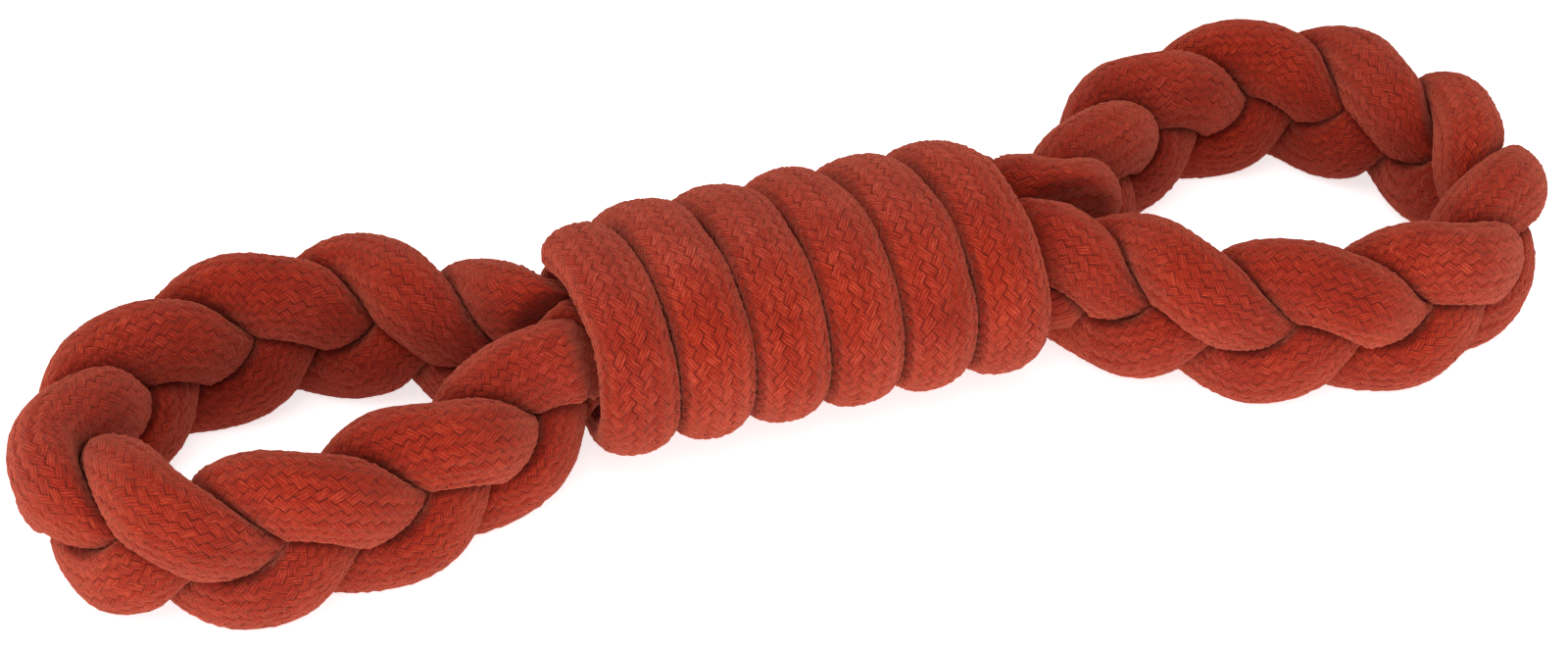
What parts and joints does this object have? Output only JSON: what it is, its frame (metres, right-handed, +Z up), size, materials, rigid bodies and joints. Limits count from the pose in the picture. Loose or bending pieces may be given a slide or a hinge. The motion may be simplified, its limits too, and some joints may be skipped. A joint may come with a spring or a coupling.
{
  "type": "rope dog toy",
  "caption": "Soft cotton rope dog toy: a thick three-rope plait closed into a ring and bound in the middle by a wound rope grip, leaving a pull loop at each end",
  "frame": {"origin": "on the surface that the toy lies on, under the middle of its outline", "axes": "+Z up from that surface, +X along the toy from the narrower loop to the wider loop, +Y across it"},
  "size_m": [0.4014, 0.1268, 0.0556],
  "materials": {
    "sheath": "matte braided cotton, brick red",
    "core": "matte loose cotton yarn, undyed"
  },
  "bodies": {
    "root": {"plait_rope_a_sheath": "sheath", "plait_rope_a_core": "core", "plait_rope_b_sheath": "sheath", "plait_rope_b_core": "core", "plait_rope_c_sheath": "sheath", "plait_rope_c_core": "core", "winding_rope_sheath": "sheath", "winding_rope_core": "core"}
  },
  "joints": []
}
